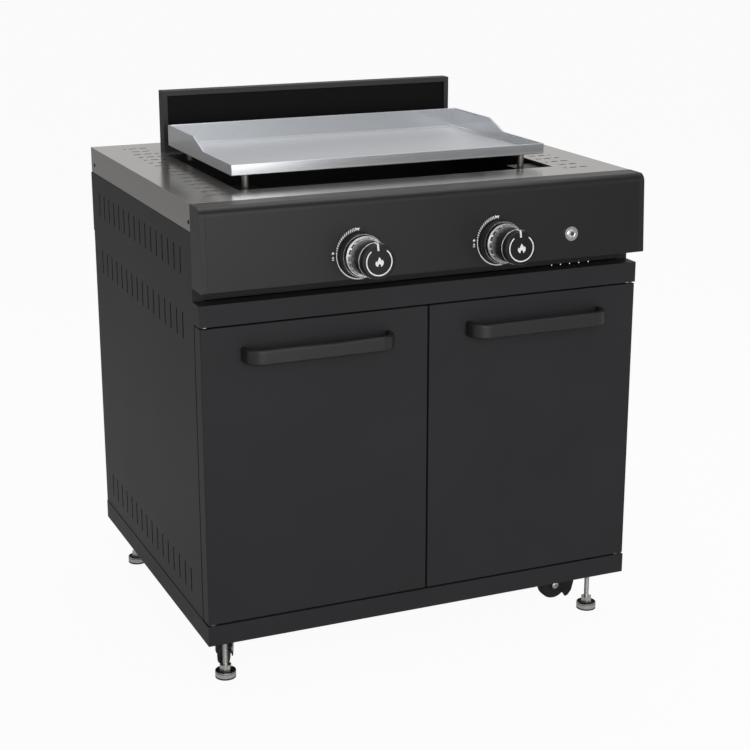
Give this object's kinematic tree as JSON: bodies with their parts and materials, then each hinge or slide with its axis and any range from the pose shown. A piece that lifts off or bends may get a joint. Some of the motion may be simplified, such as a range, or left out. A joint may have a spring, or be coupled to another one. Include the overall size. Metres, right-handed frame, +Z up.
{
  "type": "outdoor gas griddle station",
  "caption": "Sheet-steel cabinet on levelling feet and casters, with double doors and a burner module that carries a lift-off stainless griddle and a backsplash.",
  "frame": {"origin": "on the ground under the middle of the bounding box", "axes": "+Z up, the doors and knobs face -Y, +X is to the right of someone facing the doors"},
  "size_m": [0.8, 0.7513, 0.9405],
  "materials": {
    "powder_coat": "satin charcoal powder coat",
    "backsplash_black": "satin black",
    "worktop_steel": "brushed",
    "griddle_steel": "satin",
    "black_enamel": "matte black enamel",
    "galvanised": "galvanised",
    "burner_iron": "raw cast",
    "electrode": "glazed ceramic",
    "valve_brass": "machined",
    "pipe_steel": "mill finish",
    "black_plastic": "satin",
    "chrome": "polished",
    "zinc": "zinc plated",
    "caster_plastic": "moulded"
  },
  "bodies": {
    "carcass": {"base_tray": "powder_coat", "foot_nuts": "galvanised", "caster_plates": "zinc", "cabinet_floor": "powder_coat", "left_side_panel": "powder_coat", "right_side_panel": "powder_coat", "back_panel": "powder_coat", "upper_back_panel": "powder_coat", "top_rail": "powder_coat", "recess_rail": "powder_coat", "module_floor": "galvanised", "upper_left_panel": "powder_coat", "upper_right_panel": "powder_coat", "worktop": "worktop_steel", "burner_box": "black_enamel", "burners": "burner_iron", "burner_caps": "burner_iron", "spark_electrodes": "electrode", "thermocouples": "electrode", "backsplash_frame": "powder_coat", "backsplash_panel": "backsplash_black", "control_panel": "powder_coat", "end_caps": "powder_coat", "knob_bezels": "black_plastic", "gas_valves": "valve_brass", "gas_manifold": "pipe_steel", "igniter_housing": "chrome", "hinge_pins": "galvanised", "door_catches": "black_plastic"},
    "left_door": {"left_door_skin": "powder_coat", "left_door_inner": "powder_coat", "left_handle": "powder_coat"},
    "right_door": {"right_door_skin": "powder_coat", "right_door_inner": "powder_coat", "right_handle": "powder_coat"},
    "griddle": {"griddle_plate": "griddle_steel", "griddle_feet": "griddle_steel", "grease_cup": "griddle_steel"},
    "left_valve": {"left_valve_plug": "valve_brass"},
    "right_valve": {"right_valve_plug": "valve_brass"},
    "left_knob": {"left_knob": "black_plastic", "left_knob_ring": "chrome"},
    "right_knob": {"right_knob": "black_plastic", "right_knob_ring": "chrome"},
    "igniter": {"igniter_button": "chrome"},
    "foot_front_left": {"foot_front_left": "zinc"},
    "foot_front_right": {"foot_front_right": "zinc"},
    "foot_rear_left": {"foot_rear_left": "zinc"},
    "foot_rear_right": {"foot_rear_right": "zinc"},
    "caster_front_left_swivel": {"caster_front_left_fork": "caster_plastic"},
    "caster_front_left_wheel": {"caster_front_left_wheel": "caster_plastic"},
    "caster_front_left_brake": {"caster_front_left_brake": "caster_plastic"},
    "caster_front_right_swivel": {"caster_front_right_fork": "caster_plastic"},
    "caster_front_right_wheel": {"caster_front_right_wheel": "caster_plastic"},
    "caster_front_right_brake": {"caster_front_right_brake": "caster_plastic"},
    "caster_rear_left_swivel": {"caster_rear_left_fork": "caster_plastic"},
    "caster_rear_left_wheel": {"caster_rear_left_wheel": "caster_plastic"},
    "caster_rear_right_swivel": {"caster_rear_right_fork": "caster_plastic"},
    "caster_rear_right_wheel": {"caster_rear_right_wheel": "caster_plastic"}
  },
  "joints": [
    {"name": "left_door_hinge", "type": "hinge", "parent": "carcass", "child": "left_door", "pos_m": [-0.389, -0.26331, 0.3775], "axis": [0, 0, -1], "range_deg": [0, 110]},
    {"name": "right_door_hinge", "type": "hinge", "parent": "carcass", "child": "right_door", "pos_m": [0.389, -0.26331, 0.3775], "axis": [0, 0, 1], "range_deg": [0, 110]},
    {"name": "left_knob_turn", "type": "hinge", "parent": "carcass", "child": "left_valve", "pos_m": [-0.134, -0.29431, 0.735], "axis": [0, -0.9986, 0.0523], "range_deg": [0, 180]},
    {"name": "left_knob_push", "type": "slide", "parent": "left_valve", "child": "left_knob", "axis": [0, 0.9986, -0.0523], "range_m": [0, 0.004], "stiffness_N_per_m": 1500, "springref_m": -0.004},
    {"name": "right_knob_turn", "type": "hinge", "parent": "carcass", "child": "right_valve", "pos_m": [0.118, -0.29431, 0.735], "axis": [0, -0.9986, 0.0523], "range_deg": [0, 180]},
    {"name": "right_knob_push", "type": "slide", "parent": "right_valve", "child": "right_knob", "axis": [0, 0.9986, -0.0523], "range_m": [0, 0.004], "stiffness_N_per_m": 1500, "springref_m": -0.004},
    {"name": "igniter_push", "type": "slide", "parent": "carcass", "child": "igniter", "axis": [0, 0.9986, -0.0523], "range_m": [0, 0.003], "stiffness_N_per_m": 1500, "springref_m": -0.002},
    {"name": "griddle_lift", "type": "slide", "parent": "carcass", "child": "griddle", "axis": [0, 0, 1], "range_m": [0, 0.08]},
    {"name": "foot_front_left_level", "type": "slide", "parent": "carcass", "child": "foot_front_left", "axis": [0, 0, 1], "range_m": [-0.01, 0.008]},
    {"name": "foot_front_right_level", "type": "slide", "parent": "carcass", "child": "foot_front_right", "axis": [0, 0, 1], "range_m": [-0.01, 0.008]},
    {"name": "foot_rear_left_level", "type": "slide", "parent": "carcass", "child": "foot_rear_left", "axis": [0, 0, 1], "range_m": [-0.01, 0.008]},
    {"name": "foot_rear_right_level", "type": "slide", "parent": "carcass", "child": "foot_rear_right", "axis": [0, 0, 1], "range_m": [-0.01, 0.008]},
    {"name": "caster_front_left_turn", "type": "hinge", "parent": "carcass", "child": "caster_front_left_swivel", "pos_m": [-0.336, -0.16331, 0.08], "axis": [0, 0, 1], "continuous": true},
    {"name": "caster_front_left_roll", "type": "hinge", "parent": "caster_front_left_swivel", "child": "caster_front_left_wheel", "pos_m": [-0.34397, -0.18165, 0.032], "axis": [-0.9171, 0.3987, 0], "continuous": true},
    {"name": "caster_front_left_pedal", "type": "hinge", "parent": "caster_front_left_swivel", "child": "caster_front_left_brake", "pos_m": [-0.32882, -0.1468, 0.068], "axis": [-0.9171, 0.3987, 0], "range_deg": [0, 15]},
    {"name": "caster_front_right_turn", "type": "hinge", "parent": "carcass", "child": "caster_front_right_swivel", "pos_m": [0.336, -0.16331, 0.08], "axis": [0, 0, 1], "continuous": true},
    {"name": "caster_front_right_roll", "type": "hinge", "parent": "caster_front_right_swivel", "child": "caster_front_right_wheel", "pos_m": [0.316, -0.16331, 0.032], "axis": [0, 1, 0], "continuous": true},
    {"name": "caster_front_right_pedal", "type": "hinge", "parent": "caster_front_right_swivel", "child": "caster_front_right_brake", "pos_m": [0.354, -0.16331, 0.068], "axis": [0, 1, 0], "range_deg": [0, 15]},
    {"name": "caster_rear_left_turn", "type": "hinge", "parent": "carcass", "child": "caster_rear_left_swivel", "pos_m": [-0.336, 0.26469, 0.08], "axis": [0, 0, 1], "continuous": true},
    {"name": "caster_rear_left_roll", "type": "hinge", "parent": "caster_rear_left_swivel", "child": "caster_rear_left_wheel", "pos_m": [-0.336, 0.24469, 0.032], "axis": [-1, 0, 0], "continuous": true},
    {"name": "caster_rear_right_turn", "type": "hinge", "parent": "carcass", "child": "caster_rear_right_swivel", "pos_m": [0.336, 0.26469, 0.08], "axis": [0, 0, 1], "continuous": true},
    {"name": "caster_rear_right_roll", "type": "hinge", "parent": "caster_rear_right_swivel", "child": "caster_rear_right_wheel", "pos_m": [0.336, 0.24469, 0.032], "axis": [-1, 0, 0], "continuous": true}
  ]
}
